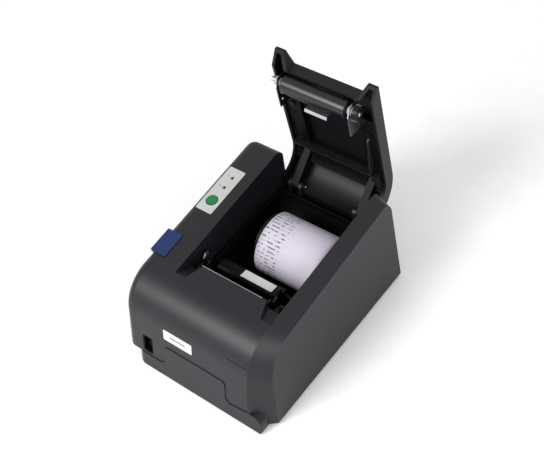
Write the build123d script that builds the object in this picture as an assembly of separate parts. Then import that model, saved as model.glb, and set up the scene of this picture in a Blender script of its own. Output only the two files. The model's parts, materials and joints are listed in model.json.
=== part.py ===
from build123d import *
import math
import os

# Receipt printer with its lid open. Millimetres, X to the right, Y to the back, Z up.
# The whole machine is modelled in one place and then moved so that the centre of its outline on the table
# is the origin.

# ---------------------------------------------------------------- casing
WIDTH = 140.0             # over the two side faces
DEPTH = 180.7             # foot of the front face to the back face
FRONT_Y = -2.2            # foot of the front face
FOOT = 2.0                # height of the rubber feet
WALL = 2.4                # moulded wall
TOP_Y = 41.0              # a point on the sloping top, behind the front shoulder
TOP_Z = 79.5
TOP_SLOPE = 5.8           # degrees, rising to the back
FRONT_LEAN = 11.6         # degrees, the front face leans back
SHOULDER_R = 34.0         # front shoulder
CORNER_R = 8.0            # upright corners of the housing
STRIP_REAR_R = 8.5        # rear top corner of the left strip and of the side panel
LID_REAR_R = 31.0         # large rear rounding that the lid follows
PARTING_Z = 15.0          # where the upper housing meets the base
SEAM_GAP = 0.3            # gap at a moulded seam
SIDE_PROUD = 1.2          # the right side panel stands this far out of the housing's outline
SIDE_LEAN = 4.9           # degrees, the right side face leans in
BEVEL_FRONT = 15.0        # the panel's bevel falls back by this over its width, in front
BEVEL_TOP = 12.2          # and on top
BASE_PROUD = 0.6          # the base stands this far out of the housing's front
BASE_INSET = 9.5          # and in from its left side
BASE_CORNER_R = 9.0
BASE_GAP = 0.4            # base to side panel
STRIP_X0 = 36.0           # raised strip of the base at the right of the front
STRIP_X1 = 64.0
STRIP_TOP_Z = 16.5
STRIP_R = 8.0
TAB_X = 30.0              # half width of the base's raised front tab
TAB_TOP_Z = 34.5
TAB_FLARE = 3.5
GROOVE_Z = 59.5           # faint parting groove at the right of the front
GROOVE_X0 = 31.0
GROOVE_W = 0.6
GROOVE_DEPTH = 0.4
FOOT_R = 6.0
FOOT_X = -50.0            # the left feet
SCREW_R = 1.5
SCREW_BACK = 16.0         # each case screw stands this far behind a foot

# ---------------------------------------------------------------- opening and lid
RIM_X = -39.2             # left rim of the opening
SEAM_X = 51.6             # right edge of the opening, where the side panel starts
LID_GAP = 0.6             # lid to rim
LID_WALL = 2.2
LID_FLANGE = 10.0         # depth of the lid's side walls
LID_FRONT_Y = 57.5        # straight front edge of the closed lid
HORN_LENGTH = 11.3        # the two horns reach this far in front of that edge
HORN_TIP = 8.2
HORN_FOOT = 14.0
NOTCH_LENGTH = 15.5       # the pockets for the horns reach this far in front of the lid's edge
NOTCH_GAP = 0.8           # horn to pocket
RAMP_RATE = 0.66          # fall of a pocket's floor towards the back
HINGE_Y = 174.0
HINGE_Z = 62.0
HINGE_PIN_R = 1.75
RUNNING_GAP = 0.05        # radial clearance of a shaft in its hole
LID_OPEN = 88.5           # degrees from closed to open
LID_REAR_END_Z = 60.0     # lower rear edge of the closed lid
BACK_WALL_TOP_Z = 56.0    # the housing's back wall under the lid
ARM_XS = (-25.0, 38.0)    # middle of each hinge arm of the lid
ARM_W = 6.0
LUG_W = 3.0
LUG_GAP = 0.4
LUG_R = 3.7
LUG_DROP = 22.0           # the lugs reach this far down the back wall
LID_FRAME_IN = 4.4        # inner frame below the lid's outer face
LID_FRAME_T = 3.4
LID_FRAME_Y0 = 80.0
LID_WINDOW = (-22.0, 34.0, 92.0, 140.0)

# ---------------------------------------------------------------- platen, all with the lid closed
PLATEN_BACK = 9.5         # axis behind the lid's straight front edge
PLATEN_DEPTH = 13.5       # axis below the lid's outer face
PLATEN_R = 7.5
PLATEN_SHAFT_R = 2.0
PLATEN_X0 = -26.0         # left end of the rubber
PLATEN_LENGTH = 57.0
BRACKET_T = 1.0
BRACKET_REACH = 33.0      # the platen brackets reach this far behind the lid's front edge
BUSH_R = 3.5
GEAR_MODULE = 0.5
GEAR_WIDTH = 4.0
PLATEN_TEETH = 24
IDLER_TEETH = 28
PINION_TEETH = 12
MESH_GAP = 0.12           # extra centre distance between meshing gears

# ---------------------------------------------------------------- print mechanism
SEAT_T = 1.7
SEAT_TOP = 2.0            # seat plates above the platen's axis
MECH_FLOOR_Z = 28.0
MECH_Y0 = 57.2
MECH_Y1 = 76.6
HEAD_GAP = 0.3
MOTOR_R = 7.5
MOTOR_LENGTH = 14.0
MOTOR_SHAFT_R = 1.0
IDLER_PIN_R = 1.5
IDLER_FORWARD = 5.0       # idler axis in front of the platen's
PINION_FORWARD = 3.0      # pinion axis in front of the idler's
TEAR_X0 = -24.9
TEAR_X1 = 32.7
TOOTH_PITCH = 1.5
TOOTH_HEIGHT = 0.7
LATCH_Y = 71.0
LATCH_Z = 46.0
LATCH_T = 1.5
LATCH_PIN_R = 1.5

# ---------------------------------------------------------------- paper
PAPER_WIDTH = 57.5
ROLL_R = 26.0
ROLL_BORE_R = 8.0
CORE_WALL = 1.5
ROLL_X0 = -11.8
ROLL_Y = 123.2
BIN_R = 42.0
BIN_WALL = 1.8
BIN_FLOOR_Z = 21.0
BIN_TOP_Z = 58.0
DIVIDER_T = 2.0
DIVIDER_R = 22.0
GUIDE_Y0 = 73.0
GUIDE_Z0 = 55.0
GUIDE_LABEL_X = 8.4

# ---------------------------------------------------------------- controls
LABEL_W = 15.5
LABEL_L = 46.0
LABEL_X = -56.8
LABEL_Y = 120.0
LABEL_T = 0.4
FEED_R = 4.6
FEED_Y = 108.5
RELEASE_W = 14.5
RELEASE_L = 22.5
RELEASE_Y = 59.0
RELEASE_TRAVEL = 3.0
RELEASE_SKIRT = 8.0       # the release button wraps this far down the left side
BUTTON_GAP = 0.35
LED_W = 2.4
LED_YS = (133.8, 123.2)
BOARD_DROP = 9.0          # control board below the top
FRONT_LABEL = (-15.7, 47.6, 28.0, 10.0)
SWITCH_X = -47.5
SWITCH_Z = 25.5
SWITCH_W = 10.5
SWITCH_H = 17.5
ROCKER_TILT = 9.0
ROCKER_PIN_R = 1.0

# ---------------------------------------------------------------- electronics
BOARD_Z = 14.6
BOARD_T = 1.6
BOARD_X0 = -56.0
BOARD_X1 = 40.0
BOARD_Y0 = 92.0
PORT_X0 = -40.0           # opening for the ports in the back wall
PORT_X1 = 30.0
PORT_TOP_Z = 31.0
# name: middle in X, width and height of the body, width, height and corner of the mouth
PORTS = {
    "power_inlet": (-31.0, 14.0, 11.5, 10.5, 8.5, 4.0),
    "usb_port": (-10.5, 12.0, 11.0, 8.4, 7.8, 1.0),
    "drawer_port": (13.0, 13.0, 12.0, 9.8, 8.4, 0.4),
}

SLOPE = math.tan(math.radians(TOP_SLOPE))
LEAN = math.tan(math.radians(FRONT_LEAN))
BACK_Y = FRONT_Y + DEPTH
SIDE_SLOPE = math.tan(math.radians(SIDE_LEAN))
BIG = 400.0


def top_z(y, inset=0.0):
    """Height of the sloping top at y, or of a face that runs inset below it."""
    return TOP_Z + (y - TOP_Y) * SLOPE - inset / math.cos(math.radians(TOP_SLOPE))


def front_y(z, inset=0.0):
    """Y of the leaning front face at height z."""
    return FRONT_Y + (z - FOOT) * LEAN + inset / math.cos(math.radians(FRONT_LEAN))


def side_face(inset, rear_radius, bottom, front=None, top=None):
    """Outline of the machine seen from the side, set in by inset; front and top may be set in by more."""
    front = inset if front is None else front
    top = inset if top is None else top
    corner_z = top_z(front_y(0, front), top) / (1 - LEAN * SLOPE)
    back = BACK_Y - inset
    points = [
        (front_y(bottom, front), bottom),
        (front_y(corner_z, front), corner_z),
        (back, top_z(back, top)),
        (back, bottom),
    ]
    face = make_face(Polyline(*points, close=True))
    shoulder = face.vertices().sort_by_distance((points[1][0], points[1][1], 0))[0]
    face = fillet(shoulder, SHOULDER_R - max(inset, 0))
    rear = face.vertices().sort_by_distance((points[2][0], points[2][1], 0))[0]
    return fillet(rear, max(rear_radius - inset, 0.5))


def slab(inset, rear_radius, bottom, x0, x1):
    """The side outline carried across from x0 to x1."""
    face = Plane.YZ * side_face(inset, rear_radius, bottom)
    return Pos(x0, 0, 0) * extrude(face, amount=x1 - x0)


def block(x0, x1, y0, y1, z0, z1):
    """A box between two corners."""
    return Pos((x0 + x1) / 2, (y0 + y1) / 2, (z0 + z1) / 2) * Box(x1 - x0, y1 - y0, z1 - z0)


def rod(radius, x0, x1, y, z):
    """A cylinder along X."""
    turned = Pos((x0 + x1) / 2, y, z) * Rot(0, 90, 0)
    return turned * Cylinder(radius, x1 - x0)


def post(radius, x, y, z0, z1):
    """A cylinder along Z."""
    return Pos(x, y, (z0 + z1) / 2) * Cylinder(radius, z1 - z0)


def on_top(x, y, lift=0.0):
    """A place on the sloping top, tilted with it."""
    return Pos(x, y, top_z(y)) * Rot(TOP_SLOPE, 0, 0) * Pos(0, 0, lift)


def on_front(x, z, lift=0.0):
    """A place on the leaning front face, its local Z pointing out of the face."""
    return Pos(x, front_y(z), z) * Rot(90 - FRONT_LEAN, 0, 0) * Pos(0, 0, lift)


def rounded_plate(width, length, thickness, radius):
    """A plate with rounded corners, its underside at local Z 0."""
    return extrude(RectangleRounded(width, length, radius), amount=thickness)


def opened(shape):
    """Swing a piece of the closed lid to the open position."""
    hinge = Axis((0, HINGE_Y, HINGE_Z), (1, 0, 0))
    return shape.rotate(hinge, -LID_OPEN)


# ================================================================ places worked out once
LID_X0 = RIM_X + LID_GAP
LID_X1 = SEAM_X - LID_GAP
SLOPE_RAD = math.radians(TOP_SLOPE)
PLATEN_FACE_Y = LID_FRONT_Y + PLATEN_BACK * math.cos(SLOPE_RAD)
PLATEN_Y = PLATEN_FACE_Y + PLATEN_DEPTH * math.sin(SLOPE_RAD)
PLATEN_Z = top_z(PLATEN_FACE_Y) - PLATEN_DEPTH * math.cos(SLOPE_RAD)
PLATEN_X1 = PLATEN_X0 + PLATEN_LENGTH
BRACKET_LEFT_X = PLATEN_X0 - 3.5
BRACKET_RIGHT_X = PLATEN_X1 + 2.5
PLATEN_GEAR_X = BRACKET_RIGHT_X + BRACKET_T + 2.2
ROLL_Z = BIN_FLOOR_Z + BIN_WALL + 0.3 + ROLL_R
BIN_AXIS_Z = BIN_FLOOR_Z + BIN_WALL + BIN_R
BIN_X0 = RIM_X + WALL + 0.4
BIN_X1 = SEAM_X - 2.0
BIN_Y0 = ROLL_Y - BIN_R - BIN_WALL
BIN_Y1 = ROLL_Y + BIN_R + BIN_WALL
SEAT_LEFT_X = BRACKET_LEFT_X - BRACKET_T - 1.4
SEAT_RIGHT_X = BRACKET_RIGHT_X - 0.4
TEAR_Y = LID_FRONT_Y - 1.6
GUIDE_X0 = BRACKET_LEFT_X + 1.2
GUIDE_X1 = SEAT_RIGHT_X - SEAT_T - 0.4
HEAD_Y = PLATEN_Y - PLATEN_R - HEAD_GAP
IDLER_Y = PLATEN_Y - IDLER_FORWARD
IDLER_REACH = (PLATEN_TEETH + IDLER_TEETH) * GEAR_MODULE / 2 + MESH_GAP
IDLER_Z = PLATEN_Z - math.sqrt(IDLER_REACH ** 2 - IDLER_FORWARD ** 2)
PINION_REACH = (IDLER_TEETH + PINION_TEETH) * GEAR_MODULE / 2 + MESH_GAP
PINION_Y = IDLER_Y - PINION_FORWARD
PINION_Z = IDLER_Z - math.sqrt(PINION_REACH ** 2 - PINION_FORWARD ** 2)
LATCH_X1 = SEAT_LEFT_X - SEAT_T - 0.6
SHAFT_LEFT_X = LID_X0 + 0.3
BOARD_Y1 = BACK_Y - 5.0


# ================================================================ casing


def horn_outline(grow, length=HORN_LENGTH):
    """Plan of the lid's front: straight edge with a horn of this length at each end, grown by grow."""
    tip_y = LID_FRONT_Y - length - grow
    edge_y = LID_FRONT_Y - grow
    x0 = LID_X0 - grow
    x1 = LID_X1 + grow
    points = [
        (x0, tip_y),
        (x0 + HORN_TIP + 2 * grow, tip_y),
        (x0 + HORN_FOOT + 2 * grow, edge_y),
        (x1 - HORN_FOOT - 2 * grow, edge_y),
        (x1 - HORN_TIP - 2 * grow, tip_y),
        (x1, tip_y),
        (x1, BIG),
        (x0, BIG),
    ]
    return extrude(make_face(Polyline(*points, close=True)), amount=BIG)


def ramp(drop, y1):
    """Everything above the pockets' sloping floor, lowered by drop, as far back as y1."""
    y0 = LID_FRONT_Y - NOTCH_LENGTH - NOTCH_GAP
    z1 = top_z(y1) - (y1 - y0) * RAMP_RATE - drop
    points = [(y0, top_z(y0) - drop), (y1, z1), (y1, BIG), (y0, BIG)]
    return across(points, RIM_X - 1, SEAM_X + 1)


def pockets():
    """Space of the two pockets in front of the lid's straight edge."""
    plan = horn_outline(NOTCH_GAP, NOTCH_LENGTH)
    return plan & ramp(0, LID_FRONT_Y) & block(-BIG, BIG, 0, LID_FRONT_Y - NOTCH_GAP, 0, BIG)


def pocket_floors():
    """Moulded floors of the pockets, one wall thick, between the rim and the straight edge."""
    plan = horn_outline(NOTCH_GAP + WALL, NOTCH_LENGTH)
    floor = plan & ramp(WALL, LID_FRONT_Y) & slab(0.5, LID_REAR_R, PARTING_Z, RIM_X - 1, SEAM_X)
    return floor & block(-BIG, BIG, 0, LID_FRONT_Y - NOTCH_GAP, 0, BIG)


def tab_outline(grow):
    """Front view of the base's raised tab, grown by grow, reaching through the front wall."""
    foot = TAB_X + TAB_FLARE + grow
    top = TAB_X + grow
    points = [
        (-foot, -BIG),
        (-foot, PARTING_Z + grow),
        (-top, PARTING_Z + 3.0 + grow),
        (-top, TAB_TOP_Z + grow),
        (top, TAB_TOP_Z + grow),
        (top, PARTING_Z + 3.0 + grow),
        (foot, PARTING_Z + grow),
        (foot, -BIG),
    ]
    face = make_face(Polyline(*points, close=True))
    corners = face.vertices().sort_by(Axis.Y)[-2:]
    face = fillet(corners, 4.0)
    return Pos(0, 30, 0) * extrude(Plane.XZ * face, amount=60)


def strip_outline(grow):
    """Front view of the base's raised strip at the right, grown by grow, reaching through the front wall."""
    left = STRIP_X0 - grow
    right = STRIP_X1 + grow
    points = [
        (left, -BIG),
        (left, PARTING_Z - SEAM_GAP),
        (SEAM_X, STRIP_TOP_Z + grow),
        (right, STRIP_TOP_Z + grow),
        (right, -BIG),
    ]
    face = make_face(Polyline(*points, close=True))
    corner = face.vertices().sort_by_distance((points[3][0], points[3][1], 0))[0]
    return Pos(0, 30, 0) * extrude(Plane.XZ * fillet(corner, STRIP_R + grow), amount=60)


def front_window(x, z, width, height, radius, depth=12.0):
    """A rounded opening through the leaning front wall."""
    return on_front(x, z, -depth) * rounded_plate(width, height, 2 * depth, radius)


def top_window(x, y, width, length, radius, depth=12.0):
    """A rounded opening through the sloping top."""
    return on_top(x, y, -depth) * rounded_plate(width, length, 2 * depth, radius)


def upper_housing():
    """Top, front, left and back walls, with the opening for the lid."""
    left = -WIDTH / 2
    strip = slab(0, STRIP_REAR_R, PARTING_Z, left, RIM_X)
    main = slab(0, LID_REAR_R, PARTING_Z, RIM_X, SEAM_X)
    body = strip + main
    corners = body.edges().filter_by(lambda e: abs(e.center().X - left) < 0.01 and e.length > 30
                                     and abs(e.tangent_at(0.5).Z) > 0.9)
    body = fillet(corners, CORNER_R)
    hollow = slab(WALL, STRIP_REAR_R, PARTING_Z - 1, left + WALL, RIM_X - WALL)
    hollow += slab(WALL, LID_REAR_R, PARTING_Z - 1, RIM_X, SEAM_X)
    body -= hollow
    body += seam_wall()
    body -= block(RIM_X - WALL, SEAM_X, FRONT_Y + WALL + 8, BACK_Y - WALL, 0, TAB_TOP_Z)
    body += pocket_floors()
    body -= pockets()
    opening = Pos(0, 0, BACK_WALL_TOP_Z) * horn_outline(NOTCH_GAP)
    body -= opening & block(-BIG, BIG, LID_FRONT_Y - NOTCH_GAP, BIG, 0, BIG)
    rear = block(RIM_X, SEAM_X + WALL + 1, BACK_Y - 60, BACK_Y + 5, BACK_WALL_TOP_Z, BIG)
    body -= rear & block(RIM_X, SEAM_X, 0, BIG, 0, BIG)
    body -= tab_outline(SEAM_GAP)
    body -= strip_outline(SEAM_GAP) & block(-BIG, BIG, -BIG, FRONT_Y + BEVEL_FRONT, 0, BIG)
    skin = slab(0, LID_REAR_R, PARTING_Z, -BIG, BIG) - slab(GROOVE_DEPTH, LID_REAR_R, 0, -BIG, BIG)
    body -= skin & block(GROOVE_X0, SEAM_X, -BIG, TOP_Y, GROOVE_Z, GROOVE_Z + GROOVE_W)
    body += block(left + WALL - 0.1, left + BASE_INSET + WALL, FRONT_Y + CORNER_R + WALL, BACK_Y - CORNER_R,
                  PARTING_Z, PARTING_Z + WALL)
    body -= top_window(LABEL_X, FEED_Y, 2 * FEED_R + 1.6, 2 * FEED_R + 1.6, FEED_R + 0.7)
    for y in LED_YS:
        body -= top_window(LABEL_X + 1.0, y, LED_W + 0.4, LED_W + 0.4, 0.4)
    body -= release_pocket()
    body -= front_window(SWITCH_X, SWITCH_Z, SWITCH_W, SWITCH_H, 2.0)
    body -= block(PORT_X0, PORT_X1, BACK_Y - 8, BACK_Y + 5, PARTING_Z - 1, PORT_TOP_Z)
    body -= block(TEAR_X0 - 0.6, TEAR_X1 + 0.6, TEAR_Y - 0.2, LID_FRONT_Y, PLATEN_Z, BIG)
    body += hinge_lugs()
    return body




def seam_wall():
    """Wall of the housing behind the seam, which the side panel fits over."""
    wall = slab(WALL + SEAM_GAP, LID_REAR_R, PARTING_Z, SEAM_X - 0.1, SEAM_X + SEAM_GAP + 0.1)
    inner = panel_shape(WALL + SEAM_GAP) & block(SEAM_X, SEAM_X + WALL, -BIG, BIG, PARTING_Z, BIG)
    return wall + (inner & slab(WALL + SEAM_GAP, LID_REAR_R, PARTING_Z, SEAM_X, SEAM_X + WALL))


def release_pocket():
    """Opening for the release button, through the top and the left side."""
    width = RELEASE_W + BUTTON_GAP
    depth = RELEASE_SKIRT + RELEASE_TRAVEL + BUTTON_GAP
    return on_top(-WIDTH / 2 - 20, RELEASE_Y) * block(
        0, width + 20, -RELEASE_L / 2 - BUTTON_GAP, RELEASE_L / 2 + BUTTON_GAP, -depth, 20)




def hinge_lugs():
    """Two lugs beside each hinge arm, standing on the back wall and holding the pin."""
    lugs = None
    for x in ARM_XS:
        for side in (-1, 1):
            inner = x + side * (ARM_W / 2 + LUG_GAP)
            outer = inner + side * LUG_W
            x0 = min(inner, outer)
            x1 = max(inner, outer)
            lug = rod(LUG_R, x0, x1, HINGE_Y, HINGE_Z)
            lug += block(x0, x1, HINGE_Y - LUG_R, BACK_Y - WALL - 1.4, HINGE_Z - LUG_DROP, HINGE_Z)
            lug += block(x0, x1, BACK_Y - WALL - 2, BACK_Y - 0.5, HINGE_Z - LUG_DROP, BACK_WALL_TOP_Z)
            lug -= rod(HINGE_PIN_R, x0 - 1, x1 + 1, HINGE_Y, HINGE_Z)
            lugs = lug if lugs is None else lugs + lug
    return lugs


def panel_shape(grow):
    """Solid of the side panel, set in by grow: a bevel from the seam to a side face that leans in."""
    x0 = SEAM_X + SEAM_GAP
    x1 = WIDTH / 2
    near = side_face(grow - SIDE_PROUD, STRIP_REAR_R, FOOT + 1)
    far = side_face(grow - SIDE_PROUD, STRIP_REAR_R, FOOT + 1,
                    front=grow - SIDE_PROUD + BEVEL_FRONT, top=grow - SIDE_PROUD + BEVEL_TOP)
    solid = loft([Pos(x0, 0, 0) * (Plane.YZ * near), Pos(x1, 0, 0) * (Plane.YZ * far)], ruled=True)
    lean = [(x0, -BIG), (x1 - grow + SIDE_SLOPE * (BIG + FOOT), -BIG), (x1 - grow - SIDE_SLOPE * (BIG - FOOT), BIG),
            (x0 - BIG, BIG), (x0 - BIG, -BIG)]
    inward = extrude(Plane.XZ * make_face(Polyline(*lean, close=True)), amount=BIG, both=True)
    return solid & inward


def right_side_panel():
    """Right side of the casing: a shallow shell with one soft bevel, standing proud of the housing."""
    shell = panel_shape(0) - panel_shape(WALL)
    shell -= block(-BIG, WIDTH / 2 - WALL, FRONT_Y + BEVEL_FRONT + WALL, BACK_Y - WALL, 0, FOOT + 1 + WALL)
    return shell - (strip_outline(SEAM_GAP) & block(-BIG, BIG, -BIG, FRONT_Y + BEVEL_FRONT, 0, BIG))


def lower_base():
    """Base tray with a raised tab in the middle of the front and a strip at its right."""
    left = -WIDTH / 2 + BASE_INSET
    back = BACK_Y - 0.6
    tray = slab(-BASE_PROUD, STRIP_REAR_R, FOOT, left, SEAM_X + SEAM_GAP)
    tray &= block(-BIG, BIG, -BIG, back, FOOT, PARTING_Z - SEAM_GAP)
    corners = tray.edges().filter_by(lambda e: abs(e.center().X - left) < 0.01 and abs(e.tangent_at(0.5).Z) > 0.9)
    tray = fillet(corners, BASE_CORNER_R)
    wide = panel_shape(WALL + BASE_GAP) & block(SEAM_X, BIG, -BIG, back - WALL, FOOT, PARTING_Z - SEAM_GAP)
    tray += wide
    tray -= block(left + WALL, SEAM_X + 5, FRONT_Y + WALL + 3, back - WALL, FOOT + WALL, PARTING_Z + 5)
    tray -= block(SEAM_X + 5 + WALL, BIG, -50, BIG, FOOT + 1 + WALL, BIG)
    skin = slab(-BASE_PROUD, STRIP_REAR_R, FOOT, -BIG, BIG) - slab(WALL, STRIP_REAR_R, 0, -BIG, BIG)
    front = skin & block(-BIG, BIG, -BIG, 30, FOOT, BIG)
    tray += front & tab_outline(0) & block(-BIG, BIG, -BIG, BIG, PARTING_Z - 3, BIG)
    tray += front & strip_outline(0) & block(STRIP_X0, SEAM_X, -BIG, BIG, FOOT, BIG)
    tray += strip_end()
    for x, y in foot_places():
        tray -= post(FOOT_R + 0.1, x, y, FOOT - 1, FOOT + 1.0)
        tray += post(SCREW_R + 2.0, x, y + SCREW_BACK, FOOT, PARTING_Z - 2)
        tray -= post(SCREW_R, x, y + SCREW_BACK, FOOT - 1, PARTING_Z)
    return tray


def strip_end():
    """Solid end of the strip, which fills the corner in front of the side panel's bevel."""
    solid = slab(-BASE_PROUD, STRIP_REAR_R, FOOT, SEAM_X - 1, STRIP_X1)
    return solid & strip_outline(0) & block(-BIG, BIG, -BIG, FRONT_Y + BEVEL_FRONT - SEAM_GAP, FOOT, BIG)


def foot_places():
    """The four feet."""
    return [(x, y) for x in (FOOT_X, SEAM_X - 4) for y in (FRONT_Y + 18, BACK_Y - 34)]


def rubber_feet():
    feet = []
    for x, y in foot_places():
        foot = post(FOOT_R, x, y, 0, FOOT + 1.0)
        feet.append(fillet(foot.edges().sort_by(Axis.Z)[0], 0.6))
    return feet


def screw(x, y, z0, length, head_r=2.8, head_h=1.6):
    """A pan head screw standing head down, its head's face at z0."""
    body = post(head_r, x, y, z0, z0 + head_h)
    body += post(SCREW_R, x, y, z0 + head_h - 0.01, z0 + head_h + length)
    body -= block(x - head_r * 0.7, x + head_r * 0.7, y - 0.3, y + 0.3, z0 - 1, z0 + 0.6)
    body -= block(x - 0.3, x + 0.3, y - head_r * 0.7, y + head_r * 0.7, z0 - 1, z0 + 0.6)
    return body


def case_screws():
    return [screw(x, y + SCREW_BACK, FOOT - 1.7, 7.0) for x, y in foot_places()]


# ================================================================ paper path and roll


def paper_bin():
    """Tub with a round floor that the roll lies in."""
    outer = rod(BIN_R + BIN_WALL, BIN_X0, BIN_X1, ROLL_Y, BIN_AXIS_Z)
    outer += block(BIN_X0, BIN_X1, BIN_Y0, BIN_Y1, BIN_AXIS_Z - 12, BIN_TOP_Z)
    inner = rod(BIN_R, BIN_X0 + BIN_WALL, BIN_X1 - BIN_WALL, ROLL_Y, BIN_AXIS_Z)
    inner += block(BIN_X0 + BIN_WALL, BIN_X1 - BIN_WALL, BIN_Y0 + BIN_WALL, BIN_Y1 - BIN_WALL,
                   BIN_AXIS_Z - 12, BIG)
    tub = outer - inner - block(-BIG, BIG, -BIG, BIG, BIN_TOP_Z, BIG)
    return tub


def bin_divider():
    """Upright plate with a round top that keeps a narrow roll against the right wall."""
    x1 = ROLL_X0 - 1.0
    x0 = x1 - DIVIDER_T
    plate = rod(DIVIDER_R, x0, x1, ROLL_Y, ROLL_Z + 3)
    plate += block(x0, x1, ROLL_Y - 15, ROLL_Y + 15, 0, ROLL_Z)
    return plate & rod(BIN_R - 0.05, x0 - 1, x1 + 1, ROLL_Y, BIN_AXIS_Z)


def paper_roll():
    """Thermal paper wound on its core."""
    x1 = ROLL_X0 + PAPER_WIDTH
    return rod(ROLL_R, ROLL_X0, x1, ROLL_Y, ROLL_Z) - rod(ROLL_BORE_R, ROLL_X0 - 1, x1 + 1, ROLL_Y, ROLL_Z)


def roll_core():
    x1 = ROLL_X0 + PAPER_WIDTH
    tube = rod(ROLL_BORE_R, ROLL_X0 + 0.3, x1 - 0.3, ROLL_Y, ROLL_Z)
    return tube - rod(ROLL_BORE_R - CORE_WALL, ROLL_X0, x1, ROLL_Y, ROLL_Z)




def across(points, x0, x1):
    """An outline in the side view carried across from x0 to x1."""
    face = make_face(Polyline(*points, close=True))
    return Pos(x0, 0, 0) * extrude(Plane.YZ * face, amount=x1 - x0)


def paper_guide():
    """Low guide over the bin's front wall that leads the paper up to the platen."""
    wall_y = BIN_Y0 - SEAM_GAP
    lip_z = BIN_TOP_Z + 0.2
    points = [
        (GUIDE_Y0, GUIDE_Z0),
        (GUIDE_Y0, GUIDE_Z0 + 4.5),
        (GUIDE_Y0 + 1.5, GUIDE_Z0 + 6.0),
        (GUIDE_Y0 + 10.0, GUIDE_Z0 + 4.9),
        (GUIDE_Y0 + 11.5, lip_z),
        (wall_y, lip_z),
        (wall_y, GUIDE_Z0),
    ]
    return across(points, GUIDE_X0, GUIDE_X1)


def guide_label():
    """Plain white label on the guide's slope."""
    tilt = math.degrees(math.atan2(1.1, 8.5))
    centre = Pos(GUIDE_LABEL_X, GUIDE_Y0 + 5.75, GUIDE_Z0 + 5.45)
    return centre * Rot(-tilt, 0, 0) * rounded_plate(30.0, 7.5, 0.2, 0.4)


def paper_sensor():
    """Reflective sensor under the guide."""
    return block(2, 8, GUIDE_Y0 + 0.5, GUIDE_Y0 + 5, GUIDE_Z0 - 3.5, GUIDE_Z0)


# ================================================================ print mechanism


def seat_plate(x0, x1):
    """Side plate of the mechanism with a seat, open at the top, for the platen's bush."""
    plate = block(x0, x1, MECH_Y0, MECH_Y1, MECH_FLOOR_Z, PLATEN_Z + SEAT_TOP)
    slot = rod(BUSH_R + 0.3, x0 - 1, x1 + 1, PLATEN_Y, PLATEN_Z)
    slot += block(x0 - 1, x1 + 1, PLATEN_Y - BUSH_R - 0.3, PLATEN_Y + BUSH_R + 1.6, PLATEN_Z, PLATEN_Z + 9)
    return plate - slot


def mechanism_frame():
    """Floor and two side plates that carry the head, the motor and the platen's seats."""
    left = seat_plate(SEAT_LEFT_X - SEAT_T, SEAT_LEFT_X)
    right = seat_plate(SEAT_RIGHT_X - SEAT_T, SEAT_RIGHT_X)
    floor = block(SEAT_LEFT_X - SEAT_T, SEAT_RIGHT_X, MECH_Y0, MECH_Y1, MECH_FLOOR_Z, MECH_FLOOR_Z + 2)
    frame = left + floor + right
    frame -= rod(MOTOR_SHAFT_R + 1.0, SEAT_RIGHT_X - 5, SEAT_RIGHT_X + 5, PINION_Y, PINION_Z)
    frame -= rod(IDLER_PIN_R, SEAT_RIGHT_X - 5, SEAT_RIGHT_X + 5, IDLER_Y, IDLER_Z)
    for x in (-20, 20):
        frame += post(4.0, x, MECH_Y0 + 9, FOOT + WALL, MECH_FLOOR_Z + 0.01)
    return frame


def print_head():
    """Ceramic strip that faces the platen."""
    return block(PLATEN_X0, PLATEN_X1 - 0.5, HEAD_Y - 1.0, HEAD_Y, PLATEN_Z - 8, PLATEN_Z + 1.5)


def head_heatsink():
    """Aluminium plate behind the ceramic, with cooling ribs low down."""
    plate = block(PLATEN_X0, PLATEN_X1 - 0.5, HEAD_Y - 3.0, HEAD_Y - 1.0, PLATEN_Z - 13, PLATEN_Z - 0.5)
    return plate


def head_springs():
    """Two coil springs that press the head to the platen, drawn as plain sleeves."""
    z = PLATEN_Z - 9.5
    springs = []
    for x in (-14, 19):
        centre = Pos(x, HEAD_Y - 3.0 - 3.0, z) * Rot(90, 0, 0)
        springs.append(centre * (Cylinder(2.6, 6.0) - Cylinder(1.8, 8.0)))
    return springs


def spring_rail():
    """Bent plate in front of the head that the springs stand against."""
    y1 = HEAD_Y - 9.0
    rail = block(SEAT_LEFT_X + 0.3, SEAT_RIGHT_X - SEAT_T - 0.3, y1 - 1.2, y1, MECH_FLOOR_Z + 2, PLATEN_Z - 4)
    foot = block(SEAT_LEFT_X + 0.3, SEAT_RIGHT_X - SEAT_T - 0.3, y1 - 1.2, MECH_Y0 + 4, MECH_FLOOR_Z + 2,
                 MECH_FLOOR_Z + 3.2)
    return rail + foot - rod(MOTOR_R + 0.5, SEAT_RIGHT_X - SEAT_T - MOTOR_LENGTH - 2, SEAT_RIGHT_X,
                             PINION_Y, PINION_Z)


def tear_bar():
    """Thin steel blade with a toothed top edge."""
    count = int((TEAR_X1 - TEAR_X0) / TOOTH_PITCH)
    start = TEAR_X0 + (TEAR_X1 - TEAR_X0 - count * TOOTH_PITCH) / 2
    top = top_z(TEAR_Y) + 0.9
    points = [(start + count * TOOTH_PITCH, top - 7), (start, top - 7), (start, top - TOOTH_HEIGHT)]
    for i in range(count):
        points.append((start + (i + 0.5) * TOOTH_PITCH, top))
        points.append((start + (i + 1) * TOOTH_PITCH, top - TOOTH_HEIGHT))
    face = make_face(Polyline(*points, close=True))
    return Pos(0, TEAR_Y + 0.6, 0) * extrude(Plane.XZ * face, amount=0.6)


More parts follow.
